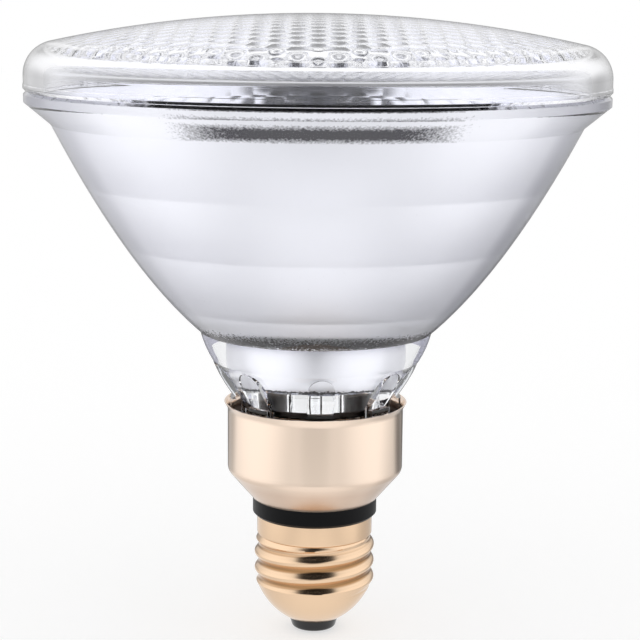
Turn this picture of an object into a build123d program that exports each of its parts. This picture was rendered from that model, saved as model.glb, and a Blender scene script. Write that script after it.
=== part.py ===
from build123d import *
import math
import os

# Sealed-beam reflector spotlight bulb with a skirted screw cap.
# A pressed-glass reflector bowl is closed by a pressed-glass lens. The neck of the bowl is cemented into a
# drawn skirt, and below the skirt an insulating ring carries the screw shell.
# The axis of the lamp is Z with the lens upwards, and the underside of the centre contact is at Z = 0.
# All sizes are in millimetres, and angles are in degrees.

# Heights of the cap, each stacked on the one before
contact_proud = 0.4
tip_height = 2.5
nose_height = 7.0
thread_length = 11.9
band_height = 4.5
ring_height = 3.8
cone_height = 6.3
barrel_height = 13.6
lip_height = 1.2

# Heights of the glass, stacked on the lip of the skirt
neck_gap = 1.0
neck_height = 14.7
body_height = 43.9
flange_height = 6.7
lens_side_height = 3.2

# Screw shell
thread_major_d = 26.15
thread_minor_d = 24.26
thread_pitch = 3.629
thread_crest_z = 15.75
thread_crest_flat = 0.9
thread_run_out = 2.0
band_d = 25.0
nose_end_d = 11.6
nose_bulge = 0.75
shell_wall = 0.3

# Black glass button in the bottom of the shell, and the contact under it
tip_top_d = 10.8
tip_low_d = 9.4
tip_round = 0.9
button_fill = 4.0
contact_d = 5.4
eyelet_d = 2.6
eyelet_bore_d = 1.6
solder_dish_d = 3.6
solder_dish_depth = 0.25
solder_height = 1.2

# Insulating ring
ring_d = 26.9
ring_chamfer = 0.6
ring_bore_d = 16.0
ring_spigot = 3.0
ring_rivet_d = 21.6
ring_rivet_height = 2.4

# Skirt
skirt_low_d = 27.0
barrel_d = 37.8
lip_flare = 0.75
skirt_wall = 0.35
skirt_bend_round = 2.0
skirt_lip_round = 1.6

# Reflector
heel_d = 49.6
neck_step = 0.2
neck_hollow = 0.5
waist_rise = 8.6
waist_share = 0.7
waist_bulge = 0.25
collar_depth = 7.2
collar_wall = 3.5
floor_thickness = 7.0
floor_rise = 4.9
well_floor_d = 21.6
well_mouth_d = 25.0
well_mouth_drop = 0.8
well_bulge = 0.8
mirror_low_rise = 1.6
mirror_shift = 5.0
mirror_rim_drop = 3.3
flange_d = 121.7
flange_overhang = 5.38
flange_edge = 2.2
seam_notch = 0.6
seal_width = 4.3

# Soft ring steps of the mirror wall
ring_step_count = 3
ring_step_rise = 7.4
ring_step_pitch = 12.4
ring_step_width = 4.0
ring_step_relief = 0.12

# Locating ribs round the neck
rib_count = 8
rib_turn = 3.5
rib_width = 5.4
rib_rise = 8.0
rib_relief = 0.9
rib_bulge = 0.35
rib_clearance = 0.2

# Front lens, as wide as the flange
lens_crown_radius = 258.0
lens_shoulder_radius = 7.0
lens_wall = 4.0
lens_lip_proud = 0.1
lens_lip_height = 1.5
bead_side = 2.4
bead_height = 0.6
bead_press = 0.2
bead_field_d = 107.0

# Filament mount
ferrule_spacing = 12.4
ferrule_d = 6.4
ferrule_wall = 0.4
ferrule_base = 0.7
ferrule_drop = 1.5
post_d = 2.0
post_bend = 1.8
post_reach = 2.0
coil_d = 2.4
coil_turns = 7
coil_tail_d = 0.8
coil_tail = 0.8
coil_groove = 0.3
bridge_share = 0.53
bridge_d = 3.2
bridge_overhang = 2.2
support_wire_d = 0.5
support_loop_gap = 0.1
exhaust_d = 4.4
exhaust_bore_d = 2.2
exhaust_length = 8.0

# Wires in the cap
lead_d = 0.9
lead_bend = 3.0
centre_lead_drop = 8.0
centre_lead_slope = 10.0
side_lead_drop = 0.5
side_lead_slope = 4.0
side_solder_d = 2.4
side_solder_length = 0.9

# Capping cement
cement_gap = 2.35
cement_drop = 2.6
cement_height = 3.4

# Room between pieces that seat in each other
seat_gap = 0.05

# Levels along the axis
tip_z = contact_proud
shell_end_z = tip_z + tip_height
thread_low_z = shell_end_z + nose_height
thread_top_z = thread_low_z + thread_length
shell_top_z = thread_top_z + band_height
skirt_low_z = shell_top_z + ring_height
bend_z = skirt_low_z + cone_height
barrel_top_z = bend_z + barrel_height
lip_z = barrel_top_z + lip_height
neck_z = lip_z + neck_gap
waist_z = neck_z + waist_rise
heel_z = neck_z + neck_height
corner_z = heel_z + body_height
seam_z = corner_z + flange_height
shoulder_z = seam_z + lens_side_height
collar_low_z = neck_z - collar_depth
floor_z = neck_z + floor_rise
floor_low_z = floor_z - floor_thickness
mirror_low_z = heel_z + mirror_low_rise
ferrule_low_z = floor_low_z - ferrule_drop
side_lead_turn_z = shell_top_z - ring_spigot - side_lead_drop

# Diameters that follow the skirt's barrel and the flange
skirt_inner_r = barrel_d / 2 - skirt_wall
lip_d = barrel_d + 2 * lip_flare
collar_d = 2 * (skirt_inner_r - cement_gap)
collar_bore_d = collar_d - 2 * collar_wall
neck_d = collar_d + 2 * neck_step
waist_d = neck_d + waist_share * (heel_d - neck_d)
lens_d = flange_d

# Outer paraboloid of the bowl, from its heel to its corner under the flange, and the mirror set above it
corner_r = flange_d / 2 - flange_overhang
focal_length = (corner_r ** 2 - (heel_d / 2) ** 2) / (4 * body_height)
outer_vertex_z = heel_z - (heel_d / 2) ** 2 / (4 * focal_length)
mirror_vertex_z = outer_vertex_z + mirror_shift
focus_z = mirror_vertex_z + focal_length
mirror_rim_z = seam_z - mirror_rim_drop
bridge_z = floor_z + bridge_share * (focus_z - floor_z)

# Radii that more than one piece shares
shell_inner_r = thread_minor_d / 2 - shell_wall
ring_rivet_r = ring_rivet_d / 2
post_x = ferrule_spacing / 2
coil_half = post_x - post_reach - coil_tail

# Centre of the lens dome, which the shoulder round meets smoothly
shoulder_r = lens_d / 2 - lens_shoulder_radius
dome_z = shoulder_z - math.sqrt((lens_crown_radius - lens_shoulder_radius) ** 2 - shoulder_r ** 2)
dome_lean = math.degrees(math.atan2(shoulder_r, shoulder_z - dome_z))


def turned(edges):
    """Solid of revolution about the axis, from an outline in (radius, height)"""
    return revolve(Plane.XZ * make_face(edges), Axis.Z)


def tube(inner_d, outer_d, low_z, high_z):
    """Plain ring about the axis"""
    ring = Cylinder(outer_d / 2, high_z - low_z) - Cylinder(inner_d / 2, high_z - low_z)
    return Pos(0, 0, (low_z + high_z) / 2) * ring


def rod(diameter, low_z, high_z):
    """Plain round bar about the axis"""
    return Pos(0, 0, (low_z + high_z) / 2) * Cylinder(diameter / 2, high_z - low_z)


def wire(diameter, points, bends):
    """Round wire along straight runs in the XZ plane, joined by bends"""
    path = FilletPolyline(*[(x, 0, z) for x, z in points], radius=bends)
    section = Plane(path @ 0, z_dir=path % 0) * Circle(diameter / 2)
    return sweep(section, path=path)


def parabola(vertex_z, low_z, high_z):
    """Stretch of a parabola about the axis, as an exact quadratic curve"""
    low_r = math.sqrt(4 * focal_length * (low_z - vertex_z))
    high_r = math.sqrt(4 * focal_length * (high_z - vertex_z))
    pull = ((low_r + high_r) / 2, vertex_z + low_r * high_r / (4 * focal_length))
    return Bezier((low_r, low_z), pull, (high_r, high_z))


def nose_arc(inset, lift):
    """Round of the shell's nose from its end to the thread, moved in by an inset"""
    low = (nose_end_d / 2 - inset, shell_end_z + lift)
    high = (thread_minor_d / 2 - inset - lift, thread_low_z)
    return SagittaArc(low, high, -nose_bulge)


def screw_shell():
    """Thin threaded shell: plain band, round thread and tapering nose"""
    minor_r = thread_minor_d / 2
    band_r = band_d / 2
    outer = nose_arc(0, 0)
    inner = nose_arc(0, shell_wall)
    side = Polyline(
        outer @ 1,
        (minor_r, thread_top_z),
        (band_r, thread_top_z + band_r - minor_r),
        (band_r, shell_top_z),
        (band_r - shell_wall, shell_top_z),
        (band_r - shell_wall, thread_top_z + band_r - minor_r),
        (shell_inner_r, thread_top_z),
        inner @ 1,
    )
    core = turned([outer, side, inner, Line(inner @ 0, outer @ 0)])
    return core + thread_ridge()


def thread_ridge():
    """Helical ridge of the thread, sunk in the core and faded out at both ends"""
    major_r = thread_major_d / 2
    minor_r = thread_minor_d / 2
    depth = major_r - minor_r
    turns_below = math.ceil((thread_crest_z - thread_low_z) / thread_pitch)
    start_z = thread_crest_z - turns_below * thread_pitch
    turns = math.ceil((thread_top_z - start_z) / thread_pitch)
    path = Helix(thread_pitch, turns * thread_pitch, minor_r, center=(0, 0, start_z))
    crest_half = thread_crest_flat / 2
    foot_half = thread_pitch / 2 - crest_half
    sunk = shell_wall / 2
    sunk_half = foot_half + sunk * (foot_half - crest_half) / depth
    section = Polyline(
        (-sunk, -sunk_half),
        (depth, -crest_half),
        (depth, crest_half),
        (-sunk, sunk_half),
        close=True,
    )
    start_plane = Plane((minor_r, 0, start_z), x_dir=(1, 0, 0), z_dir=(0, -1, 0))
    ridge = sweep(start_plane * make_face(section), path=path, is_frenet=True)
    fade = turned(Polyline(
        (minor_r - shell_wall, thread_low_z),
        (minor_r, thread_low_z),
        (major_r + seat_gap, thread_low_z + thread_run_out),
        (major_r + seat_gap, thread_top_z - thread_run_out),
        (minor_r, thread_top_z),
        (minor_r - shell_wall, thread_top_z),
        close=True,
    ))
    return ridge & fade


def base_insulator():
    """Black glass button that fills the nose of the shell and carries the contact"""
    inner = nose_arc(seat_gap, shell_wall)
    bore_r = eyelet_d / 2 + seat_gap
    tip = FilletPolyline(
        (bore_r, tip_z),
        (tip_low_d / 2, tip_z),
        (tip_top_d / 2, shell_end_z - seat_gap),
        inner @ 0,
        radius=[tip_round, 0],
    )
    top = Polyline(inner @ 1, (bore_r, thread_low_z), (bore_r, tip_z))
    filled = turned([tip, inner, top])
    return filled & rod(thread_major_d, tip_z - contact_proud, shell_end_z + button_fill)


def centre_contact():
    """Disc and eyelet through the button, with a shallow dish for the solder"""
    eyelet_top = shell_end_z + button_fill
    body = rod(contact_d, 0, tip_z) + rod(eyelet_d, 0, eyelet_top)
    dish = turned(Polyline(
        (0, 0),
        (solder_dish_d / 2, 0),
        (eyelet_bore_d / 2, solder_dish_depth),
        (0, solder_dish_depth),
        close=True,
    ))
    return body - dish - rod(eyelet_bore_d, 0, eyelet_top)


def centre_solder():
    """Solder that fills the dish and the mouth of the eyelet"""
    bore_r = eyelet_bore_d / 2 - seat_gap
    return turned(Polyline(
        (0, 0),
        (solder_dish_d / 2 - seat_gap, 0),
        (bore_r, solder_dish_depth),
        (bore_r, solder_height),
        (0, solder_height),
        close=True,
    ))


def insulating_ring():
    """Black ring: a spigot goes down into the shell, and a riveted tube up through the skirt's floor"""
    spigot_r = band_d / 2 - shell_wall - seat_gap
    bore_r = ring_bore_d / 2
    spigot_z = shell_top_z - ring_spigot
    rivet_z = skirt_low_z + skirt_wall + ring_rivet_height
    return turned(Polyline(
        (bore_r, spigot_z),
        (spigot_r, spigot_z),
        (spigot_r, shell_top_z),
        (ring_d / 2 - ring_chamfer, shell_top_z),
        (ring_d / 2, shell_top_z + ring_chamfer),
        (ring_d / 2, skirt_low_z),
        (ring_rivet_r, skirt_low_z),
        (ring_rivet_r, rivet_z),
        (bore_r, rivet_z),
        close=True,
    ))


def skirt():
    """Drawn sleeve: floor, cone, straight barrel and flared lip"""
    hole_r = ring_rivet_r + seat_gap
    outer = FilletPolyline(
        (hole_r, skirt_low_z),
        (skirt_low_d / 2, skirt_low_z),
        (barrel_d / 2, bend_z),
        (barrel_d / 2, barrel_top_z),
        (lip_d / 2, lip_z),
        radius=[0, skirt_bend_round, skirt_lip_round],
    )
    inner = FilletPolyline(
        (hole_r, skirt_low_z + skirt_wall),
        (skirt_low_d / 2 - skirt_wall, skirt_low_z + skirt_wall),
        (skirt_inner_r, bend_z),
        (skirt_inner_r, barrel_top_z),
        (lip_d / 2 - skirt_wall, lip_z),
        radius=[0, skirt_bend_round, skirt_lip_round],
    )
    return turned([outer, inner, Line(outer @ 0, inner @ 0), Line(outer @ 1, inner @ 1)])


def mirror_wall():
    """Outline of the mirror wall from its low end to the rim, with its soft ring steps"""
    edges = []
    low_z = mirror_low_z
    for step in range(ring_step_count):
        step_z = heel_z + ring_step_rise + step * ring_step_pitch
        stretch = parabola(mirror_vertex_z, low_z, step_z - ring_step_width / 2)
        low_z = step_z + ring_step_width / 2
        next_start = parabola(mirror_vertex_z, low_z, mirror_rim_z) @ 0
        edges += [stretch, SagittaArc(stretch @ 1, next_start, ring_step_relief)]
    edges.append(parabola(mirror_vertex_z, low_z, mirror_rim_z))
    return edges


def neck_outline():
    """Round of the neck from the heel of the body to its waist, and the hollow from there to its underside"""
    waist = (waist_d / 2, waist_z)
    shoulder = SagittaArc((heel_d / 2, heel_z), waist, waist_bulge)
    hollow = SagittaArc(waist, (neck_d / 2, neck_z), -neck_hollow)
    return [shoulder, hollow]


def rib_envelope():
    """Turned form that limits the ribs: from the waist out over the hollow, and straight inside the skirt"""
    crown = SagittaArc((waist_d / 2, waist_z), (neck_d / 2 + rib_relief, neck_z), rib_bulge)
    over_neck = turned([crown, Polyline(crown @ 1, (0, neck_z), (0, waist_z), crown @ 0)])
    inside_skirt = rod(2 * (skirt_inner_r - rib_clearance), collar_low_z, neck_z)
    return over_neck + inside_skirt


def rib_slabs(width):
    """Upright round-topped slabs at the places of the ribs, from inside the collar outwards"""
    arch_z = neck_z + rib_rise - width / 2
    face = Pos(0, (collar_low_z + arch_z) / 2) * Rectangle(width, arch_z - collar_low_z)
    face += Pos(0, arch_z) * Circle(width / 2)
    wall_r = (collar_d + collar_bore_d) / 4
    slab = extrude(Plane.YZ.offset(wall_r) * face, amount=heel_d / 2 - wall_r)
    first = rib_turn - 90
    return [Rot(0, 0, first + index * 360 / rib_count) * slab for index in range(rib_count)]


def reflector():
    """Pressed-glass bowl: rim flange, paraboloid, neck with ribs, collar, and the floor with its holes"""
    body = parabola(outer_vertex_z, heel_z, corner_z)
    neck = neck_outline()
    mirror = mirror_wall()
    mouth = (well_mouth_d / 2, mirror_low_z - well_mouth_drop)
    shelf = Line(mirror[0] @ 0, mouth)
    well = SagittaArc(mouth, (well_floor_d / 2, floor_z), well_bulge)
    rim = Polyline(
        mirror[-1] @ 1,
        (flange_d / 2 - seal_width, seam_z),
        (flange_d / 2 - seam_notch, seam_z),
        (flange_d / 2, seam_z - seam_notch),
        (flange_d / 2, seam_z - flange_edge),
        body @ 1,
    )
    collar = Polyline(
        neck[-1] @ 1,
        (collar_d / 2, neck_z),
        (collar_d / 2, collar_low_z),
        (collar_bore_d / 2, collar_low_z),
        (collar_bore_d / 2, floor_low_z),
        (0, floor_low_z),
        (0, floor_z),
        well @ 1,
    )
    bowl = turned([body, *neck, collar, well, shelf, rim, *mirror])
    envelope = rib_envelope()
    bowl += [slab & envelope for slab in rib_slabs(rib_width)]
    ferrule_hole = rod(ferrule_d + 2 * seat_gap, floor_low_z, floor_z)
    bowl -= [Pos(-post_x, 0, 0) * ferrule_hole, Pos(post_x, 0, 0) * ferrule_hole]
    return bowl - rod(exhaust_bore_d, floor_low_z, floor_z)


def dome_outline(wall):
    """Dome and shoulder of the lens, moved in by a wall, down to the straight side"""
    crown = CenterArc((0, dome_z), lens_crown_radius - wall, 90 - dome_lean, dome_lean)
    shoulder = CenterArc((shoulder_r, shoulder_z), lens_shoulder_radius - wall, 0, 90 - dome_lean)
    return crown, shoulder


def lens_blank():
    """Lens before its beads are pressed: dome, rounded shoulder, side and lip"""
    crown, shoulder = dome_outline(0)
    hollow_crown, hollow_shoulder = dome_outline(lens_wall)
    lip_r = lens_d / 2 + lens_lip_proud
    side = Polyline(
        shoulder @ 0,
        (lens_d / 2, seam_z + lens_lip_height),
        (lip_r, seam_z + lens_lip_height - lens_lip_proud),
        (lip_r, seam_z + seam_notch),
        (lip_r - seam_notch, seam_z),
        (lens_d / 2 - lens_wall, seam_z),
        hollow_shoulder @ 0,
    )
    axis_edge = Line(crown @ 1, hollow_crown @ 1)
    return turned([crown, shoulder, side, hollow_shoulder, hollow_crown, axis_edge])


def bead_centres():
    """Centres of the beads, in columns along Y, as far out as whole beads fit in the field"""
    column_step = 1.5 * bead_side
    bead_step = math.sqrt(3) * bead_side
    reach = bead_field_d / 2 - bead_side
    columns = int(reach / column_step)
    rows = int(reach / bead_step) + 1
    centres = []
    for column in range(-columns, columns + 1):
        for row in range(-rows, rows + 1):
            centre = (column * column_step, (row + column % 2 / 2) * bead_step)
            if math.hypot(*centre) <= reach:
                centres.append(centre)
    return centres


def bead_point(x, y, depth):
    """Point under the dome, at a depth of glass measured towards its centre"""
    radius = lens_crown_radius - depth
    return (x, y, dome_z + math.sqrt(radius ** 2 - x ** 2 - y ** 2))


def bead_plunger():
    """Press tool for the beads: a hollow six-sided pyramid for each bead, on a flat-bottomed block"""
    crest = lens_wall - bead_press
    faces = []
    open_edges = {}
    for x, y in bead_centres():
        turns = [math.radians(60 * k) for k in range(6)]
        corners = [(x + bead_side * math.cos(turn), y + bead_side * math.sin(turn)) for turn in turns]
        for k in range(6):
            start, end = corners[k - 1], corners[k]
            valley = [bead_point(*start, crest - bead_height), bead_point(*end, crest - bead_height)]
            faces.append(Face(Wire.make_polygon([bead_point(x, y, crest)] + valley)))
            key = (round(start[0] + end[0], 3), round(start[1] + end[1], 3))
            if open_edges.pop(key, None) is None:
                open_edges[key] = valley
    outline = {}
    for start, end in open_edges.values():
        low_start = (start[0], start[1], seam_z)
        low_end = (end[0], end[1], seam_z)
        faces.append(Face(Wire.make_polygon([start, end, low_end, low_start])))
        outline[tuple(round(value, 3) for value in low_start)] = low_end
    faces.append(Face(Wire.make_polygon(chained(outline))))
    return Solid(Shell(faces))


def chained(steps):
    """Points of a closed outline in order, from a table of each point's next one"""
    first = next(iter(steps))
    point = steps[first]
    points = [point]
    key = tuple(round(value, 3) for value in point)
    while key != first:
        point = steps[key]
        points.append(point)
        key = tuple(round(value, 3) for value in point)
    return points


def front_lens():
    """Domed lens with its field of six-sided beads on the inner face"""
    return lens_blank() - bead_plunger()


def ferrule():
    """Metal cup sealed through the glass floor, open upwards"""
    cup = rod(ferrule_d, ferrule_low_z, floor_z)
    return cup - rod(ferrule_d - 2 * ferrule_wall, ferrule_low_z + ferrule_base, floor_z)


def lead_post(side):
    """Stiff post from the base of a ferrule up to the focus, bent in to the end of the coil"""
    points = [
        (side * post_x, ferrule_low_z + ferrule_base),
        (side * post_x, focus_z),
        (side * (post_x - post_reach), focus_z),
    ]
    return wire(post_d, points, post_bend)


def filament():
    """Wound coil across the focus, with a straight tail at each end"""
    turn = 2 * coil_half / coil_turns
    crest = coil_d / 2
    root = coil_d / 2 - coil_groove
    points = [(-coil_half, root)]
    for index in range(coil_turns):
        points.append((-coil_half + (index + 0.5) * turn, crest))
        points.append((-coil_half + (index + 1) * turn, root))
    tail_r = coil_tail_d / 2
    end = coil_half + coil_tail
    left_tail = [(-end, 0), (-end, tail_r), (-coil_half, tail_r)]
    right_tail = [(coil_half, tail_r), (end, tail_r), (end, 0)]
    outline = Polyline(*left_tail, *points, *right_tail, close=True)
    return Pos(0, 0, focus_z) * revolve(make_face(outline), Axis.X)


def bridge_bead():
    """Glass rod across the two posts, which pass through it"""
    length = ferrule_spacing + 2 * bridge_overhang
    bar = Pos(0, 0, bridge_z) * Rot(0, 90, 0) * Cylinder(bridge_d / 2, length)
    hole = rod(post_d + 2 * seat_gap, bridge_z - bridge_d, bridge_z + bridge_d)
    return bar - [Pos(-post_x, 0, 0) * hole, Pos(post_x, 0, 0) * hole]


def filament_support():
    """Wire from the middle of the bridge to a loop round the coil"""
    inner_r = coil_d / 2 + support_loop_gap
    outer_r = inner_r + support_wire_d
    foot_z = bridge_z + bridge_d / 2
    strip = Cylinder(outer_r, support_wire_d) - Cylinder(inner_r, support_wire_d)
    loop = Pos(0, 0, focus_z) * Rot(0, 90, 0) * strip
    return loop + rod(support_wire_d, foot_z, focus_z - (inner_r + outer_r) / 2)


def exhaust_tube():
    """Sealed-off pumping tube under the glass floor"""
    low_z = floor_low_z - exhaust_length
    bore_r = exhaust_bore_d / 2
    return turned(Polyline(
        (0, low_z),
        (bore_r, low_z),
        (exhaust_d / 2, low_z + exhaust_d),
        (exhaust_d / 2, floor_low_z),
        (bore_r, floor_low_z),
        (bore_r, low_z + exhaust_d),
        (0, low_z + exhaust_bore_d),
        close=True,
    ))


def centre_lead():
    """Wire from the right ferrule to the solder in the eyelet"""
    turn_z = ferrule_low_z - centre_lead_drop
    points = [(post_x, ferrule_low_z), (post_x, turn_z), (0, turn_z - centre_lead_slope), (0, solder_height)]
    return wire(lead_d, points, lead_bend)


def side_lead():
    """Wire from the left ferrule, through the ring, to the inside of the shell"""
    end = (-(shell_inner_r - side_solder_length), side_lead_turn_z - side_lead_slope)
    points = [(-post_x, ferrule_low_z), (-post_x, side_lead_turn_z), end]
    return wire(lead_d, points, lead_bend)


def side_solder():
    """Solder pad between the end of the side lead and the wall of the shell"""
    height = side_lead_turn_z - side_lead_slope
    pad = Pos(-shell_inner_r, 0, height) * Rot(0, 90, 0) * Cylinder(side_solder_d / 2, 2 * side_solder_length)
    bore = rod(2 * (shell_inner_r - seat_gap), height - side_solder_d, height + side_solder_d)
    return (pad & bore) - side_lead()


def basing_cement():
    """Cement pads between the collar and the skirt, one in each space between ribs"""
    high_z = lip_z - cement_drop
    ring = tube(collar_d + 2 * seat_gap, 2 * (skirt_inner_r - seat_gap), high_z - cement_height, high_z)
    return ring - rib_slabs(rib_width + 2 * seat_gap)


pieces = {
    "front_lens": front_lens(),
    "reflector": reflector(),
    "skirt": skirt(),
    "insulating_ring": insulating_ring(),
    "screw_shell": screw_shell(),
    "base_insulator": base_insulator(),
    "centre_contact": centre_contact(),
    "centre_solder": centre_solder(),
    "basing_cement": basing_cement(),
    "ferrule_left": Pos(-post_x, 0, 0) * ferrule(),
    "ferrule_right": Pos(post_x, 0, 0) * ferrule(),
    "lead_post_left": lead_post(-1),
    "lead_post_right": lead_post(1),
    "bridge_bead": bridge_bead(),
    "filament_support": filament_support(),
    "filament": filament(),
    "exhaust_tube": exhaust_tube(),
    "centre_lead": centre_lead(),
    "side_lead": side_lead(),
    "side_solder": side_solder(),
}

os.makedirs("parts", exist_ok=True)
for name, piece in pieces.items():
    export_step(piece, f"parts/{name}.step")
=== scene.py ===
import math

import bmesh
import bpy
from mathutils import Matrix, Vector


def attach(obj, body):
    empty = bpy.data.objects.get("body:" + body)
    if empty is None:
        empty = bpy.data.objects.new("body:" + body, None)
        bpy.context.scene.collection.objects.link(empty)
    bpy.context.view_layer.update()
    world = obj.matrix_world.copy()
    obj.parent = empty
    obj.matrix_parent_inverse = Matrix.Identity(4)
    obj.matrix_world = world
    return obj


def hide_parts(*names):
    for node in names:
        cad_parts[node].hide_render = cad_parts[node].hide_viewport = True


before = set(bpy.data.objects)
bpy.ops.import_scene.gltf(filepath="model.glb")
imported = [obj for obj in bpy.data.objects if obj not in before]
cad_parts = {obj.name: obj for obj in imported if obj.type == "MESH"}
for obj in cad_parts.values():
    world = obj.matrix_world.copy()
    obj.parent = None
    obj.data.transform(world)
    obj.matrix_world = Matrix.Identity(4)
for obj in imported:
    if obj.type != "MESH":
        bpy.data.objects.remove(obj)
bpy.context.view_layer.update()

# Lengths below are in millimetres and angles in degrees, and MM turns lengths into the scene's metres
MM = 0.001

# Camera at the photograph's viewpoint
CAMERA_DISTANCE = 368.8
CAMERA_HEIGHT = 135.9
CAMERA_TILT = 10.31
CAMERA_YAW = -0.13
CAMERA_ROLL = 0.5
CAMERA_LENS = 98.5

# Bowl of the reflector: its mirror wall with the ring steps, and the well in its neck
FOCAL_LENGTH = 14.02
MIRROR_VERTEX_Z = 60.93
MIRROR_LOW_Z = 68.5
MIRROR_RIM_Z = 114.2
HEEL_Z = 66.9
STEP_RISE = 7.4
STEP_PITCH = 12.4
STEP_RELIEF = 0.2
WELL_MOUTH_Z = 67.7
WELL_MOUTH_R = 12.5
WELL_FLOOR_Z = 57.1
WELL_FLOOR_R = 10.8
WELL_BULGE = 0.8

# Mirror film: how deep it is bonded in the wall, how thick it is, its ends and the feathers of its edges
FILM_DEPTH = 0.2
FILM_THICKNESS = 0.05
FILM_TOP_R = 56.85
FILM_TOP_Z = 117.3
SHELF_INSET = 0.4
FILM_LOW_FEATHER = 3.2
FILM_HIGH_FEATHER = 0.3
WELL_FEATHER = 0.8
FILM_SEGMENTS = 256
MIRROR_ROWS = 160
RIM_ROWS = 12
WELL_ROWS = 40
FILM_CREASE = 40

# Look of the film: gloss of its back and its face, its colours, and the specks where it thins out; its dark
# colour also serves as the painted shade of the front bands
FILM_BACK_ROUGHNESS = 0.32
FILM_FACE_ROUGHNESS = 0.06
FILM_BRIGHT = (0.92, 0.92, 0.97)
FILM_SPECK_AND_SHADE_COLOUR = (0.05, 0.048, 0.06)
NOISE_MEAN = 0.5
SPECK_SCALE = 2200
SPECK_DETAIL = 3
SPECK_CONTRAST = 1.6
BRIGHT_COVER = 0.75
CLEAR_COVER = 0.2
COVER_RAMP = 0.1

# Painted shade: dark bands on the film at the front: low and high level, feather, turn to each side
FRONT_SHADE_BANDS = ((111.9, 115.0, 2.0, 34), (116.5, 118.0, 0.4, 34))
SHADE_BAND_COVER = 1.0
SHADE_BAND_RAMP = 0.3

# Painted shade: a dark sheet in the groove between lens and flange, strongest at the front
FLANGE_R = 60.85
SEAM_SHADE_DEPTH = 0.06
SEAM_SHADE_THICKNESS = 0.04
SEAM_SHADE_TURN = 40
SEAM_SHADE_SEGMENTS = 256
SEAM_SHADE_CREASE = 40
SEAM_SHADE_COLOUR = (0.012, 0.012, 0.015)
SEAM_SHADE_ROUGHNESS = 0.4
SEAM_SHADE_GRAIN_SCALE = 900
SEAM_SHADE_GRAIN_RELIEF = 0.01
SEAM_SHADE_SPECK_SCALE = 700
SEAM_SHADE_COVER = 0.8
SEAM_SHADE_RAMP = 0.25

# Thin dark coat under the neck's glass floor, clear of the parts that pass through it
SKIM_Z = 50.2
SKIM_THICKNESS = 0.05
SKIM_R = 12.6
SKIM_CELL = 0.5
SKIM_COLOUR = (0.05, 0.035, 0.025)
SKIM_ROUGHNESS = 0.9
SKIM_GRAIN_SCALE = 800
SKIM_GRAIN_RELIEF = 0.02
FERRULE_X = 6.2
FERRULE_CLEAR_R = 3.6
EXHAUST_CLEAR_R = 2.6

# Front lens
LENS_R = 60.85
SEAM_Z = 117.5
SHOULDER_Z = 120.7
CROWN_RADIUS = 258.0
SHOULDER_RADIUS = 7.0
LENS_WALL = 4.0
LIP_PROUD = 0.1
LIP_HEIGHT = 1.5
SEAM_NOTCH = 0.6
LENS_SEGMENTS = 192
DOME_ROWS = 60
SHOULDER_ROWS = 24
INNER_ROUND_ROWS = 12
LENS_CREASE = 20

# Six-sided beads of the lens, in columns along Y, fading out at the edge of their field
BEAD_SIDE = 2.4
BEAD_HEIGHT = 0.75
BEAD_PRESS = 0.2
BEAD_FIELD_R = 53.8
BEAD_FADE = 5.0
BEAD_CORNERS = 6
BEAD_STEPS = 5
SAME_PLACE_DIGITS = 3
TRIM_MARGIN = 0.001

# Skirt, where its barrel bends into the cone and where the painted shade of the cone fades in
BEND_Z = 36.0
BEND_FADE = 4.0

# Screw shell
SHELL_END_Z = 2.9
SHELL_END_R = 5.8
NOSE_BULGE = 0.75
THREAD_LOW_Z = 9.9
THREAD_TOP_Z = 21.8
THREAD_MINOR_R = 12.13
THREAD_DEPTH = 0.945
THREAD_PITCH = 3.629
THREAD_CREST_Z = 15.75
THREAD_RUN_OUT = 2.0
GROOVE_DEPTH = 0.35
BAND_R = 12.5
SHELL_TOP_Z = 26.3
SHELL_WALL = 0.3
SHELL_SEGMENTS = 160
NOSE_ROWS = 24
THREAD_ROWS = 84
SHELL_CREASE = 50

# Glass and grain of the finishes
GLASS_IOR = 1.47
RIPPLE_SCALE = 60
RIPPLE_DETAIL = 2
METAL_GRAIN_DETAIL = 4
METAL_GRAIN_RELIEF = 0.004
DULL_GRAIN_DETAIL = 6

# Soft studio round the object: its plain and lowest brightness, and the lobes that change it
STUDIO_BASE = 0.93
STUDIO_DARKEST = 0.02

# Lobes of the studio: direction, inner and outer angle, and change of brightness
STUDIO_LOBES = (
    ((-0.97, -0.17, 0.17), 15, 60, 0.4),
    ((0.97, -0.17, 0.17), 15, 60, 0.36),
    ((0, -0.6, 0.8), 24, 36, -0.91),
    ((0, 0.57, 0.82), 20, 60, 0.2),
    ((0, 0.99, 0.14), 8, 26, -0.2),
    ((0, 0.94, -0.34), 10, 32, -0.7),
    ((-0.6, 0.77, -0.21), 4, 24, -0.37),
    ((0.6, 0.77, -0.21), 4, 24, -0.55),
    ((0.71, 0.41, -0.57), 8, 35, -0.25),
    ((0, -0.6, -0.8), 12, 40, 0.2),
    ((0, -0.97, -0.26), 4, 22, -0.15),
    ((0, -0.97, 0.26), 6, 20, -0.5),
)

# White light of the studio, and the floor that the object stands on
WHITE = (1, 1, 1, 1)
DIFFUSE_LIGHT = 0.8
LIGHT_BOUNCES = 20
STUDIO_CENTRE_Z = 60.0
FLOOR_HALF = 3000.0
FLOOR_GREY = 0.5
FLOOR_GLOW = 0.6


def parts_of(material):
    """Node tree of a material and its main shader"""
    return material.node_tree, material.node_tree.nodes["Principled BSDF"]


def new_material(name):
    """New node material, with its tree and its main shader"""
    material = bpy.data.materials.new(name)
    material.use_nodes = True
    return material, *parts_of(material)


def link(tree, source, target):
    """Joins an output to an input"""
    tree.links.new(source, target)


def add_node(tree, kind, **settings):
    """New node with its settings"""
    node = tree.nodes.new(kind)
    for key, value in settings.items():
        setattr(node, key, value)
    return node


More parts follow.
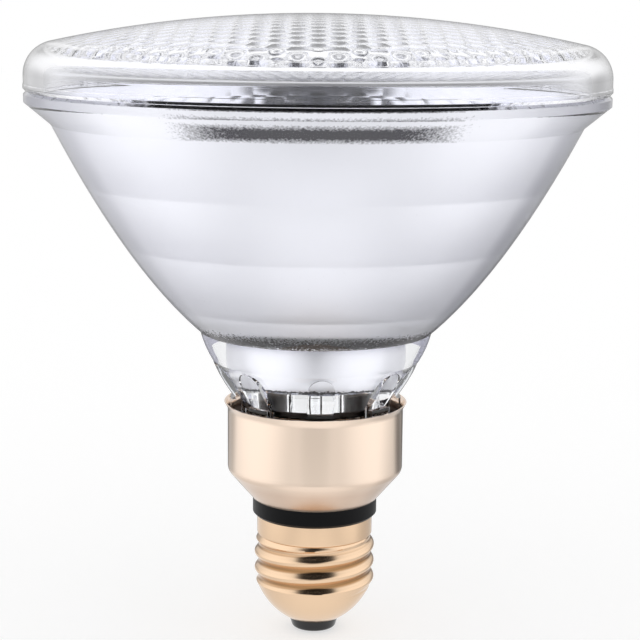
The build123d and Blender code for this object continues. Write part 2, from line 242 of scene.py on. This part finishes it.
def object_place(tree):
    """Place on the object"""
    return add_node(tree, "ShaderNodeTexCoord").outputs["Object"]


def part_along(tree, vector, axis):
    """Part of a vector along X, Y or Z"""
    node = add_node(tree, "ShaderNodeSeparateXYZ")
    link(tree, vector, node.inputs["Vector"])
    return node.outputs[axis]


def from_axis(tree, place):
    """Level way from the object's axis to a place"""
    node = add_node(tree, "ShaderNodeVectorMath", operation="MULTIPLY")
    node.inputs[1].default_value = (1, 1, 0)
    link(tree, place, node.inputs[0])
    return node.outputs["Vector"]


def direction_of(tree, vector):
    """Direction of a vector"""
    node = add_node(tree, "ShaderNodeVectorMath", operation="NORMALIZE")
    link(tree, vector, node.inputs[0])
    return node.outputs["Vector"]


def noise(tree, scale, detail, stretch=(1, 1, 1)):
    """Noise over the object, stretched along its axes, from 0 to 1"""
    mapping = add_node(tree, "ShaderNodeMapping")
    mapping.inputs["Scale"].default_value = stretch
    link(tree, object_place(tree), mapping.inputs["Vector"])
    texture = add_node(tree, "ShaderNodeTexNoise")
    texture.inputs["Scale"].default_value = scale
    texture.inputs["Detail"].default_value = detail
    link(tree, mapping.outputs["Vector"], texture.inputs["Vector"])
    return texture.outputs["Fac"]


def spread(tree, value, low, high):
    """Value from 0 to 1 spread over a range"""
    node = add_node(tree, "ShaderNodeMapRange")
    node.inputs["To Min"].default_value = low
    node.inputs["To Max"].default_value = high
    link(tree, value, node.inputs["Value"])
    return node.outputs["Result"]


def ramp(tree, value, start, end, ease="LINEAR"):
    """0 where a value is at a start and 1 where it is at an end"""
    node = add_node(tree, "ShaderNodeMapRange", interpolation_type=ease)
    node.inputs["From Min"].default_value = start
    node.inputs["From Max"].default_value = end
    link(tree, value, node.inputs["Value"])
    return node.outputs["Result"]


def step(tree, value, edge, reach):
    """0 under an edge and 1 over it, with a ramp that reaches a little to both sides"""
    return ramp(tree, value, edge - reach, edge + reach)


def gain(tree, base, value, amount):
    """base + value * amount"""
    node = add_node(tree, "ShaderNodeMath", operation="MULTIPLY_ADD")
    node.inputs[1].default_value = amount
    link(tree, value, node.inputs[0])
    link(tree, base, node.inputs[2])
    return node.outputs["Value"]


def pick(tree, which, first, second):
    """The MINIMUM or the MAXIMUM of two values"""
    node = add_node(tree, "ShaderNodeMath", operation=which)
    link(tree, first, node.inputs[0])
    link(tree, second, node.inputs[1])
    return node.outputs["Value"]


def band(tree, height, low_z, high_z, feather):
    """1 between two heights, fading to 0 over a feather at both"""
    half = feather / 2
    above = ramp(tree, height, (low_z - half) * MM, (low_z + half) * MM)
    below = ramp(tree, height, (high_z + half) * MM, (high_z - half) * MM)
    return pick(tree, "MINIMUM", above, below)


def at_front(tree, place, turn):
    """1 at the object's front, which faces -Y, fading to 0 at a turn to each side"""
    depth = part_along(tree, direction_of(tree, from_axis(tree, place)), "Y")
    return ramp(tree, depth, -math.cos(math.radians(turn)), -1, "SMOOTHSTEP")


def blend(tree, shader, first, second, share):
    """Gives a shader a colour between two others, by the share of the second"""
    node = add_node(tree, "ShaderNodeMix", data_type="RGBA")
    node.inputs["A"].default_value = (*first, 1)
    node.inputs["B"].default_value = (*second, 1)
    link(tree, share, node.inputs["Factor"])
    link(tree, node.outputs["Result"], shader.inputs["Base Color"])


def bump(tree, shader, height, relief):
    """Gives a shader a surface relief from a height"""
    node = add_node(tree, "ShaderNodeBump")
    node.inputs["Distance"].default_value = relief * MM
    link(tree, height, node.inputs["Height"])
    link(tree, node.outputs["Normal"], shader.inputs["Normal"])


def glass(name, tint, ripple):
    """Clear pressed glass with a faint ripple"""
    material, tree, shader = new_material(name)
    shader.inputs["Base Color"].default_value = (*tint, 1)
    shader.inputs["Roughness"].default_value = 0.0
    shader.inputs["IOR"].default_value = GLASS_IOR
    shader.inputs["Transmission Weight"].default_value = 1.0
    bump(tree, shader, noise(tree, RIPPLE_SCALE, RIPPLE_DETAIL), ripple)
    return material


def metal(name, colour, rough_low, rough_high, scale, stretch=(1, 1, 1)):
    """Metal whose roughness wanders a little"""
    material, tree, shader = new_material(name)
    shader.inputs["Base Color"].default_value = (*colour, 1)
    shader.inputs["Metallic"].default_value = 1.0
    grain = noise(tree, scale, METAL_GRAIN_DETAIL, stretch)
    link(tree, spread(tree, grain, rough_low, rough_high), shader.inputs["Roughness"])
    bump(tree, shader, grain, METAL_GRAIN_RELIEF)
    return material


def thread_metal(name, colour, groove_shade_colour, rough_low, rough_high, scale):
    """Metal with painted shade: browner in the grooves of the screw thread"""
    material = metal(name, colour, rough_low, rough_high, scale)
    tree, shader = parts_of(material)
    place = object_place(tree)
    radius = add_node(tree, "ShaderNodeVectorMath", operation="LENGTH")
    link(tree, from_axis(tree, place), radius.inputs[0])
    shallow = (THREAD_MINOR_R + GROOVE_DEPTH) * MM
    groove = ramp(tree, radius.outputs["Value"], shallow, THREAD_MINOR_R * MM, "SMOOTHSTEP")
    low_z = THREAD_LOW_Z + THREAD_RUN_OUT
    high_z = THREAD_TOP_Z - THREAD_RUN_OUT
    thread = band(tree, part_along(tree, place, "Z"), low_z, high_z, THREAD_RUN_OUT)
    # Painted shade in the grooves of the thread
    blend(tree, shader, colour, groove_shade_colour, pick(tree, "MINIMUM", groove, thread))
    return material


def skirt_metal(name, colour, cone_shade_colour, rough_low, rough_high, scale, stretch):
    """Drawn metal with painted shade: a little darker on the cone below the bend, where it reflects the
    shaded floor
    """
    material = metal(name, colour, rough_low, rough_high, scale, stretch)
    tree, shader = parts_of(material)
    # Painted shade on the cone, for the shaded floor that it reflects
    cone = band(tree, part_along(tree, object_place(tree), "Z"), 0, BEND_Z, BEND_FADE)
    blend(tree, shader, colour, cone_shade_colour, cone)
    return material


def dull(name, colour, roughness, scale, relief, gloss=0.5):
    """Non-metal with a fine grain"""
    material, tree, shader = new_material(name)
    shader.inputs["Base Color"].default_value = (*colour, 1)
    shader.inputs["Roughness"].default_value = roughness
    shader.inputs["Specular IOR Level"].default_value = gloss
    bump(tree, shader, noise(tree, scale, DULL_GRAIN_DETAIL), relief)
    return material


def film_metal(name, roughness, shade_bands, low_z, low_feather, high_z, high_feather):
    """Vapour-coated aluminium that thins out into dark specks, and then clear glass, at both edges, with
    painted shade in dark bands at the front
    """
    material, tree, shader = new_material(name)
    shader.inputs["Metallic"].default_value = 1.0
    shader.inputs["Roughness"].default_value = roughness
    place = object_place(tree)
    height = part_along(tree, place, "Z")
    edges = []
    for edge_z, side, feather in ((low_z, 1, low_feather), (high_z, -1, high_feather)):
        inside = add_node(tree, "ShaderNodeMath", operation="MULTIPLY_ADD")
        inside.inputs[1].default_value = side / (feather * MM)
        inside.inputs[2].default_value = -side * edge_z / feather
        link(tree, height, inside.inputs[0])
        edges.append(inside.outputs["Value"])
    specks = noise(tree, SPECK_SCALE, SPECK_DETAIL)
    cover = gain(tree, pick(tree, "MINIMUM", *edges), specks, SPECK_CONTRAST)
    even = SPECK_CONTRAST * NOISE_MEAN
    bright = step(tree, cover, even + BRIGHT_COVER, COVER_RAMP)
    # Painted shade: dark bands at the front of the film
    for band_low, band_high, feather, turn in shade_bands:
        level = band(tree, height, band_low, band_high, feather)
        share = pick(tree, "MINIMUM", at_front(tree, place, turn), level)
        dark = step(tree, gain(tree, share, specks, 1.0), SHADE_BAND_COVER, SHADE_BAND_RAMP)
        bright = pick(tree, "MINIMUM", bright, spread(tree, dark, 1, 0))
    blend(tree, shader, FILM_SPECK_AND_SHADE_COLOUR, FILM_BRIGHT, bright)
    link(tree, step(tree, cover, even + CLEAR_COVER, COVER_RAMP), shader.inputs["Alpha"])
    return material


def seam_shade_coat(name):
    """Painted shade: a dark coat that breaks up into specks away from the front"""
    material = dull(name, SEAM_SHADE_COLOUR, SEAM_SHADE_ROUGHNESS, SEAM_SHADE_GRAIN_SCALE, SEAM_SHADE_GRAIN_RELIEF)
    tree, shader = parts_of(material)
    # Painted shade: dark at the front, breaking into specks to the sides
    reach = at_front(tree, object_place(tree), SEAM_SHADE_TURN)
    specks = noise(tree, SEAM_SHADE_SPECK_SCALE, SPECK_DETAIL)
    link(tree, step(tree, gain(tree, reach, specks, 1.0), SEAM_SHADE_COVER, SEAM_SHADE_RAMP), shader.inputs["Alpha"])
    return material


# Finishes: the function that makes each one, and its settings after the name
FINISHES = {
    "lens_glass": (glass, (0.975, 0.978, 1.0), 0.01),
    "reflector_glass": (glass, (0.975, 0.985, 1.0), 0.01),
    # Painted shade: the skirt's second colour darkens its cone
    "skirt_metal": (skirt_metal, (0.84, 0.69, 0.57), (0.68, 0.52, 0.41), 0.14, 0.2, 400, (1, 1, 0.05)),
    "black_ring": (dull, (0.004, 0.004, 0.005), 0.35, 900, 0.02, 0.12),
    # Painted shade: the shell's second colour darkens its thread grooves
    "shell_metal": (thread_metal, (0.78, 0.565, 0.385), (0.36, 0.2, 0.09), 0.15, 0.2, 500),
    "black_glass": (dull, (0.006, 0.006, 0.007), 0.1, 300, 0.01),
    "contact_metal": (metal, (0.75, 0.6, 0.35), 0.25, 0.4, 600),
    "solder": (metal, (0.6, 0.6, 0.6), 0.3, 0.5, 700),
    "cement": (dull, (0.14, 0.1, 0.075), 0.9, 800, 0.08),
    "mount_metal": (metal, (0.7, 0.69, 0.66), 0.2, 0.35, 700),
    "bead_glass": (glass, (0.95, 0.97, 0.95), 0.02),
    "tungsten": (metal, (0.35, 0.34, 0.33), 0.35, 0.5, 900),
    "lead_wire": (metal, (0.72, 0.5, 0.35), 0.25, 0.4, 800),
    "oxidised_metal": (metal, (0.05, 0.043, 0.04), 0.4, 0.55, 700),
}
MATERIALS = {name: make(name, *settings) for name, (make, *settings) in FINISHES.items()}


def dress_nodes():
    """Each CAD node takes the finish of its own slot, and the ferrules are oxidised by the sealing"""
    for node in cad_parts.values():
        for place in node.material_slots:
            base = place.material.name.split(".")[0]
            place.material = MATERIALS[base]
    for name in ("ferrule_left", "ferrule_right"):
        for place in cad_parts[name].material_slots:
            place.material = MATERIALS["oxidised_metal"]


def place_piece(name, mesh, material):
    """New piece on the fixed body"""
    mesh.materials.append(material)
    piece = bpy.data.objects.new(name, mesh)
    bpy.context.scene.collection.objects.link(piece)
    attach(piece, "root")
    return piece


def smooth_piece(name, verts, faces, crease, material):
    """Smooth piece from points in millimetres, sharp where its faces turn by more than a crease"""
    mesh = bpy.data.meshes.new(name)
    mesh.from_pydata([Vector(vert) * MM for vert in verts], [], faces)
    mesh.shade_smooth()
    mesh.set_sharp_from_angle(angle=math.radians(crease))
    return place_piece(name, mesh, material)


def ring_grid(rows, segments, closed):
    """Points and faces of rings about the axis: a row is a function from angle to radius, and a height"""
    verts = []
    faces = []
    for radius_at, height in rows:
        for turn in range(segments):
            angle = 2 * math.pi * turn / segments
            radius = radius_at(angle)
            verts.append((radius * math.cos(angle), radius * math.sin(angle), height))
    for row in range(len(rows) if closed else len(rows) - 1):
        low = row * segments
        high = (row + 1) % len(rows) * segments
        for turn in range(segments):
            after = (turn + 1) % segments
            faces.append((low + turn, low + after, high + after, high + turn))
    return verts, faces


def plain_rows(outline):
    """Rows of a turned outline of (radius, height) points"""
    return [(lambda angle, radius=radius: radius, height) for radius, height in outline]


def arc(start, end, bulge, count):
    """Points on a shallow arc, whose bulge is to the right of the way from start to end"""
    start, end = Vector(start), Vector(end)
    chord = end - start
    side = Vector((chord.y, -chord.x)).normalized() * bulge
    points = []
    for index in range(count + 1):
        share = index / count
        points.append(start + chord * share + side * 4 * share * (1 - share))
    return points


def mirror_radius(height):
    """Radius of the paraboloid at a height"""
    return math.sqrt(4 * FOCAL_LENGTH * (height - MIRROR_VERTEX_Z))


def step_relief(height):
    """How far the soft bulge between two ring steps stands out from the paraboloid at a height"""
    share = (height - HEEL_Z - STEP_RISE) / STEP_PITCH % 1
    return STEP_RELIEF * 4 * share * (1 - share)


def film_shell(name, wall, low_feather, high_feather, shade_bands=()):
    """Thin closed coat bonded in a wall of the glass"""
    normals = []
    for index in range(len(wall)):
        along = wall[min(index + 1, len(wall) - 1)] - wall[max(index - 1, 0)]
        normals.append(Vector((-along.y, along.x)).normalized())
    outside = [point - normal * FILM_DEPTH for point, normal in zip(wall, normals)]
    inside = [point - normal * (FILM_DEPTH - FILM_THICKNESS) for point, normal in zip(wall, normals)]
    rows = plain_rows([tuple(point) for point in inside + outside[::-1]])
    verts, faces = ring_grid(rows, FILM_SEGMENTS, True)
    edges = (wall[0].y, low_feather, wall[-1].y, high_feather)
    back = film_metal(name, FILM_BACK_ROUGHNESS, shade_bands, *edges)
    piece = smooth_piece(name, verts, faces, FILM_CREASE, back)
    piece.data.materials.append(film_metal(name + "_face", FILM_FACE_ROUGHNESS, (), *edges))
    for face in piece.data.polygons[:(len(wall) - 1) * FILM_SEGMENTS]:
        face.material_index = 1


def mirror_film():
    """Bright film on the paraboloid and its low shelf"""
    wall = [Vector((WELL_MOUTH_R + SHELF_INSET, WELL_MOUTH_Z))]
    for index in range(MIRROR_ROWS + 1):
        height = MIRROR_LOW_Z + (MIRROR_RIM_Z - MIRROR_LOW_Z) * index / MIRROR_ROWS
        wall.append(Vector((mirror_radius(height) + step_relief(height), height)))
    wall += arc(wall[-1], (FILM_TOP_R, FILM_TOP_Z), 0, RIM_ROWS)[1:]
    # The film's back carries painted shade in dark bands at the front
    film_shell("mirror_film", wall, FILM_LOW_FEATHER, FILM_HIGH_FEATHER, FRONT_SHADE_BANDS)


def well_film():
    """Bright film in the well of the neck"""
    wall = arc((WELL_FLOOR_R, WELL_FLOOR_Z), (WELL_MOUTH_R, WELL_MOUTH_Z), WELL_BULGE, WELL_ROWS)
    film_shell("well_film", wall[1:-1], WELL_FEATHER, WELL_FEATHER)


def dark_skim():
    """Thin dark coat under the glass floor, with holes for what passes through it"""
    cells = round(SKIM_R / SKIM_CELL)
    holes = ((0, EXHAUST_CLEAR_R), (-FERRULE_X, FERRULE_CLEAR_R), (FERRULE_X, FERRULE_CLEAR_R))
    form = bmesh.new()
    places = {}

    def corner(column, row):
        if (column, row) not in places:
            point = (column * SKIM_CELL * MM, row * SKIM_CELL * MM, SKIM_Z * MM)
            places[column, row] = form.verts.new(point)
        return places[column, row]

    for column in range(-cells, cells):
        for row in range(-cells, cells):
            x, y = (column + 0.5) * SKIM_CELL, (row + 0.5) * SKIM_CELL
            clear = all(math.hypot(x - hole_x, y) > hole_r for hole_x, hole_r in holes)
            if clear and math.hypot(x, y) < SKIM_R:
                square = ((column, row), (column + 1, row), (column + 1, row + 1), (column, row + 1))
                form.faces.new([corner(*spot) for spot in square])
    bmesh.ops.solidify(form, geom=form.faces[:], thickness=SKIM_THICKNESS * MM)
    mesh = bpy.data.meshes.new("dark_skim")
    form.to_mesh(mesh)
    form.free()
    coat = dull("dark_skim", SKIM_COLOUR, SKIM_ROUGHNESS, SKIM_GRAIN_SCALE, SKIM_GRAIN_RELIEF)
    place_piece("dark_skim", mesh, coat)


def seam_shade_line(name, start, end, slot):
    """Thin dark coat of painted shade just inside a face of the seam groove"""
    start, end = Vector(start), Vector(end)
    along = (end - start).normalized()
    inward = Vector((along.y, -along.x))
    ends = (start + along * SEAM_SHADE_DEPTH, end - along * SEAM_SHADE_DEPTH)
    outer = [point + inward * SEAM_SHADE_DEPTH for point in ends]
    inner = [point + inward * (SEAM_SHADE_DEPTH + SEAM_SHADE_THICKNESS) for point in ends]
    rows = plain_rows([tuple(point) for point in outer + inner[::-1]])
    verts, faces = ring_grid(rows, SEAM_SHADE_SEGMENTS, True)
    smooth_piece(name, verts, faces, SEAM_SHADE_CREASE, seam_shade_coat(name))


def seam_shade():
    """Painted shade on both faces of the seam groove"""
    lip_r = LENS_R + LIP_PROUD
    low_face = ((FLANGE_R - SEAM_NOTCH, SEAM_Z), (FLANGE_R, SEAM_Z - SEAM_NOTCH))
    high_face = ((lip_r, SEAM_Z + SEAM_NOTCH), (lip_r - SEAM_NOTCH, SEAM_Z))
    # Painted shade on both faces of the groove
    seam_shade_line("seam_shade_low", *low_face, "reflector_glass")
    seam_shade_line("seam_shade_high", *high_face, "lens_glass")


def lens_depth_point(x, y, depth, dome_z):
    """Point under the lens dome at a depth of glass, measured towards the dome's centre"""
    return (x, y, dome_z + math.sqrt((CROWN_RADIUS - depth) ** 2 - x ** 2 - y ** 2))


def bead_centres():
    """Centres of the beads, as far out as any of a bead is in the field"""
    column_step = 1.5 * BEAD_SIDE
    bead_step = math.sqrt(3) * BEAD_SIDE
    reach = BEAD_FIELD_R + BEAD_SIDE
    columns = int(reach / column_step)
    rows = int(reach / bead_step) + 1
    centres = []
    for column in range(-columns, columns + 1):
        for row in range(-rows, rows + 1):
            centre = (column * column_step, (row + column % 2 / 2) * bead_step)
            if math.hypot(*centre) <= reach:
                centres.append(centre)
    return centres


def bead_stride(corner):
    """One step of a bead's grid, from its centre towards a corner"""
    angle = math.pi * corner / 3
    return BEAD_SIDE / BEAD_STEPS * Vector((math.cos(angle), math.sin(angle)))


def bead_field(dome_z):
    """Points and faces of the beads: a round cap on each six-sided bead"""
    crest = LENS_WALL - BEAD_PRESS
    curve = BEAD_HEIGHT / BEAD_SIDE ** 2
    places = {}
    verts = []
    faces = []

    def point_at(centre, first, second, a, b):
        x = centre[0] + a * first.x + b * second.x
        y = centre[1] + a * first.y + b * second.y
        reach = math.hypot(x, y)
        if reach > BEAD_FIELD_R:
            trim = BEAD_FIELD_R / reach
            x, y = x * trim, y * trim
        key = (round(x, SAME_PLACE_DIGITS), round(y, SAME_PLACE_DIGITS))
        if key not in places:
            places[key] = len(verts)
            away = (x - centre[0]) ** 2 + (y - centre[1]) ** 2
            fade = min(1, (BEAD_FIELD_R - math.hypot(x, y)) / BEAD_FADE)
            verts.append(lens_depth_point(x, y, crest - curve * away * fade, dome_z))
        return places[key]

    for centre in bead_centres():
        for corner in range(BEAD_CORNERS):
            first, second = bead_stride(corner), bead_stride(corner + 1)
            for a in range(BEAD_STEPS):
                for b in range(BEAD_STEPS - a):
                    triangles = [((a, b), (a, b + 1), (a + 1, b))]
                    if a + b < BEAD_STEPS - 1:
                        triangles.append(((a + 1, b), (a, b + 1), (a + 1, b + 1)))
                    for triangle in triangles:
                        faces.append(tuple(point_at(centre, first, second, *spot) for spot in triangle))
    trimmed = [math.hypot(*vert[:2]) > BEAD_FIELD_R - TRIM_MARGIN for vert in verts]
    kept = []
    for face in faces:
        if len(set(face)) == 3 and not all(trimmed[index] for index in face):
            kept.append(face)
    return verts, kept


def lens_outline(dome_z, lean):
    """Outline of the lens from near the top of the dome, round the rim and in to the plain inner face"""
    shoulder_r = LENS_R - SHOULDER_RADIUS
    outline = []
    for index in range(1, DOME_ROWS + 1):
        angle = lean * index / DOME_ROWS
        outline.append((CROWN_RADIUS * math.sin(angle), dome_z + CROWN_RADIUS * math.cos(angle)))
    for index in range(1, SHOULDER_ROWS + 1):
        angle = lean + (math.pi / 2 - lean) * index / SHOULDER_ROWS
        outline.append((shoulder_r + SHOULDER_RADIUS * math.sin(angle),
                        SHOULDER_Z + SHOULDER_RADIUS * math.cos(angle)))
    lip_r = LENS_R + LIP_PROUD
    outline += [
        (LENS_R, SEAM_Z + LIP_HEIGHT),
        (lip_r, SEAM_Z + LIP_HEIGHT - LIP_PROUD),
        (lip_r, SEAM_Z + SEAM_NOTCH),
        (lip_r - SEAM_NOTCH, SEAM_Z),
        (LENS_R - LENS_WALL, SEAM_Z),
    ]
    inner_round = SHOULDER_RADIUS - LENS_WALL
    for index in range(INNER_ROUND_ROWS + 1):
        angle = math.pi / 2 - (math.pi / 2 - lean) * index / INNER_ROUND_ROWS
        outline.append((shoulder_r + inner_round * math.sin(angle),
                        SHOULDER_Z + inner_round * math.cos(angle)))
    return outline


def close_plain_ring(mesh):
    """Closes the plain ring between the rim of the inner face and the edge of the beads"""
    form = bmesh.new()
    form.from_mesh(mesh)
    loose = [vert for vert in form.verts if not vert.link_faces]
    bmesh.ops.delete(form, geom=loose, context="VERTS")
    open_edges = [edge for edge in form.edges if edge.is_boundary]
    bmesh.ops.triangle_fill(form, edges=open_edges, use_beauty=True)
    bmesh.ops.recalc_face_normals(form, faces=form.faces)
    for face in form.faces:
        face.smooth = True
    form.to_mesh(mesh)
    form.free()
    mesh.set_sharp_from_angle(angle=math.radians(LENS_CREASE))


def pressed_lens():
    """Domed lens with a field of round six-sided beads on its inner face"""
    shoulder_r = LENS_R - SHOULDER_RADIUS
    rise = math.sqrt((CROWN_RADIUS - SHOULDER_RADIUS) ** 2 - shoulder_r ** 2)
    dome_z = SHOULDER_Z - rise
    lean = math.atan2(shoulder_r, rise)
    outline = lens_outline(dome_z, lean)
    verts, faces = ring_grid(plain_rows(outline), LENS_SEGMENTS, False)
    faces = [face[::-1] for face in faces]
    top = len(verts)
    verts.append((0, 0, dome_z + CROWN_RADIUS))
    faces += [(turn, (turn + 1) % LENS_SEGMENTS, top) for turn in range(LENS_SEGMENTS)]
    field_verts, field_faces = bead_field(dome_z)
    first = len(verts)
    verts += field_verts
    faces += [tuple(first + index for index in face) for face in field_faces]
    piece = smooth_piece("pressed_lens", verts, faces, LENS_CREASE, MATERIALS["lens_glass"])
    close_plain_ring(piece.data)
    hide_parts("front_lens")


def thread_radius(angle, height):
    """Outer radius of the screw shell above its nose: a round thread that fades at both ends, then a band"""
    if height > THREAD_TOP_Z:
        return min(BAND_R, THREAD_MINOR_R + height - THREAD_TOP_Z)
    phase = (height - THREAD_CREST_Z) / THREAD_PITCH - angle / (2 * math.pi)
    ridge = THREAD_DEPTH * (0.5 + 0.5 * math.cos(2 * math.pi * phase))
    room = min(height - THREAD_LOW_Z, THREAD_TOP_Z - height) / THREAD_RUN_OUT * THREAD_DEPTH
    return THREAD_MINOR_R + min(ridge, room)


def rolled_shell():
    """Thin screw shell with its thread rolled through the wall"""
    nose = arc((SHELL_END_R, SHELL_END_Z), (THREAD_MINOR_R, THREAD_LOW_Z), NOSE_BULGE, NOSE_ROWS)
    outside = plain_rows([(point.x, point.y) for point in nose[:-1]])
    inside = plain_rows([(point.x - SHELL_WALL, point.y) for point in nose[:-1]])
    for index in range(THREAD_ROWS + 1):
        height = THREAD_LOW_Z + (SHELL_TOP_Z - THREAD_LOW_Z) * index / THREAD_ROWS
        outside.append((lambda angle, height=height: thread_radius(angle, height), height))
        inside.append((lambda angle, height=height: thread_radius(angle, height) - SHELL_WALL, height))
    verts, faces = ring_grid(outside + inside[::-1], SHELL_SEGMENTS, True)
    piece = smooth_piece("rolled_shell", verts, faces, SHELL_CREASE, MATERIALS["shell_metal"])
    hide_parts("screw_shell")


def lobe(tree, direction, axis, inner, outer):
    """1 within an inner angle of an axis, fading to 0 at an outer angle"""
    dot = add_node(tree, "ShaderNodeVectorMath", operation="DOT_PRODUCT")
    dot.inputs[1].default_value = Vector(axis).normalized()
    link(tree, direction, dot.inputs[0])
    far = math.cos(math.radians(outer))
    near = math.cos(math.radians(inner))
    return ramp(tree, dot.outputs["Value"], far, near, "SMOOTHSTEP")


def studio_level(tree, direction):
    """Brightness of the studio in a direction"""
    base = add_node(tree, "ShaderNodeValue")
    base.outputs[0].default_value = STUDIO_BASE
    level = base.outputs[0]
    for axis, inner, outer, amount in STUDIO_LOBES:
        level = gain(tree, level, lobe(tree, direction, axis, inner, outer), amount)
    darkest = add_node(tree, "ShaderNodeMath", operation="MAXIMUM")
    darkest.inputs[1].default_value = STUDIO_DARKEST
    link(tree, level, darkest.inputs[0])
    return darkest.outputs["Value"]


def seen_in_gloss(tree, path):
    """1 for what gloss and glass show"""
    return pick(tree, "MAXIMUM", path.outputs["Is Glossy Ray"], path.outputs["Is Transmission Ray"])


def backdrop(tree, strength):
    """Plain white background at a strength"""
    node = add_node(tree, "ShaderNodeBackground")
    node.inputs["Color"].default_value = WHITE
    node.inputs["Strength"].default_value = strength
    return node


def mix(tree, factor, first, second):
    """Shader between two others"""
    node = add_node(tree, "ShaderNodeMixShader")
    link(tree, factor, node.inputs["Fac"])
    link(tree, first.outputs[0], node.inputs[1])
    link(tree, second.outputs[0], node.inputs[2])
    return node


def studio_world():
    """White studio: plain white to the camera, softly shaded where gloss and glass show it"""
    world = bpy.data.worlds.new("studio")
    world.use_nodes = True
    bpy.context.scene.world = world
    tree = world.node_tree
    tree.nodes.remove(tree.nodes["Background"])
    path = add_node(tree, "ShaderNodeLightPath")
    place = add_node(tree, "ShaderNodeTexCoord")
    shaded = backdrop(tree, 1.0)
    link(tree, studio_level(tree, place.outputs["Generated"]), shaded.inputs["Strength"])
    lit = mix(tree, seen_in_gloss(tree, path), backdrop(tree, DIFFUSE_LIGHT), shaded)
    final = mix(tree, path.outputs["Is Camera Ray"], lit, backdrop(tree, 1.0))
    link(tree, final.outputs[0], tree.nodes["World Output"].inputs["Surface"])


def floor_material():
    """Pale floor that is white to the camera and keeps a soft shadow, and shows as the studio in gloss"""
    material, tree, shader = new_material("pale_floor")
    shader.inputs["Base Color"].default_value = (FLOOR_GREY, FLOOR_GREY, FLOOR_GREY, 1)
    shader.inputs["Roughness"].default_value = 1.0
    shader.inputs["Specular IOR Level"].default_value = 0.0
    shader.inputs["Emission Color"].default_value = WHITE
    path = add_node(tree, "ShaderNodeLightPath")
    white = spread(tree, path.outputs["Is Camera Ray"], 0, FLOOR_GLOW)
    link(tree, white, shader.inputs["Emission Strength"])
    away = add_node(tree, "ShaderNodeVectorMath", operation="SUBTRACT")
    away.inputs[1].default_value = (0, 0, STUDIO_CENTRE_Z * MM)
    link(tree, object_place(tree), away.inputs[0])
    glow = add_node(tree, "ShaderNodeEmission")
    level = studio_level(tree, direction_of(tree, away.outputs["Vector"]))
    link(tree, level, glow.inputs["Strength"])
    final = mix(tree, seen_in_gloss(tree, path), shader, glow)
    link(tree, final.outputs[0], tree.nodes["Material Output"].inputs["Surface"])
    return material


def studio_floor():
    """Floor that the object stands on"""
    half = FLOOR_HALF * MM
    mesh = bpy.data.meshes.new("floor")
    corners = [(-half, -half, 0), (half, -half, 0), (half, half, 0), (-half, half, 0)]
    mesh.from_pydata(corners, [], [(0, 1, 2, 3)])
    mesh.materials.append(floor_material())
    floor = bpy.data.objects.new("floor", mesh)
    bpy.context.scene.collection.objects.link(floor)


def photo_camera():
    """Camera at the photograph's viewpoint"""
    data = bpy.data.cameras.new("camera")
    data.lens = CAMERA_LENS
    camera = bpy.data.objects.new("camera", data)
    turn = Matrix.Rotation(math.radians(CAMERA_YAW), 4, "Z")
    tilt = Matrix.Rotation(math.radians(90 - CAMERA_TILT), 4, "X")
    roll = Matrix.Rotation(math.radians(CAMERA_ROLL), 4, "Z")
    place = Matrix.Translation((0, -CAMERA_DISTANCE * MM, CAMERA_HEIGHT * MM))
    camera.matrix_world = place @ turn @ tilt @ roll
    bpy.context.scene.collection.objects.link(camera)
    bpy.context.scene.camera = camera


dress_nodes()
mirror_film()
well_film()
dark_skim()
seam_shade()
pressed_lens()
rolled_shell()
studio_world()
studio_floor()
photo_camera()
bpy.context.scene.view_settings.view_transform = "Standard"
bpy.context.scene.cycles.max_bounces = LIGHT_BOUNCES
bpy.context.scene.cycles.transmission_bounces = LIGHT_BOUNCES
bpy.context.scene.cycles.glossy_bounces = LIGHT_BOUNCES
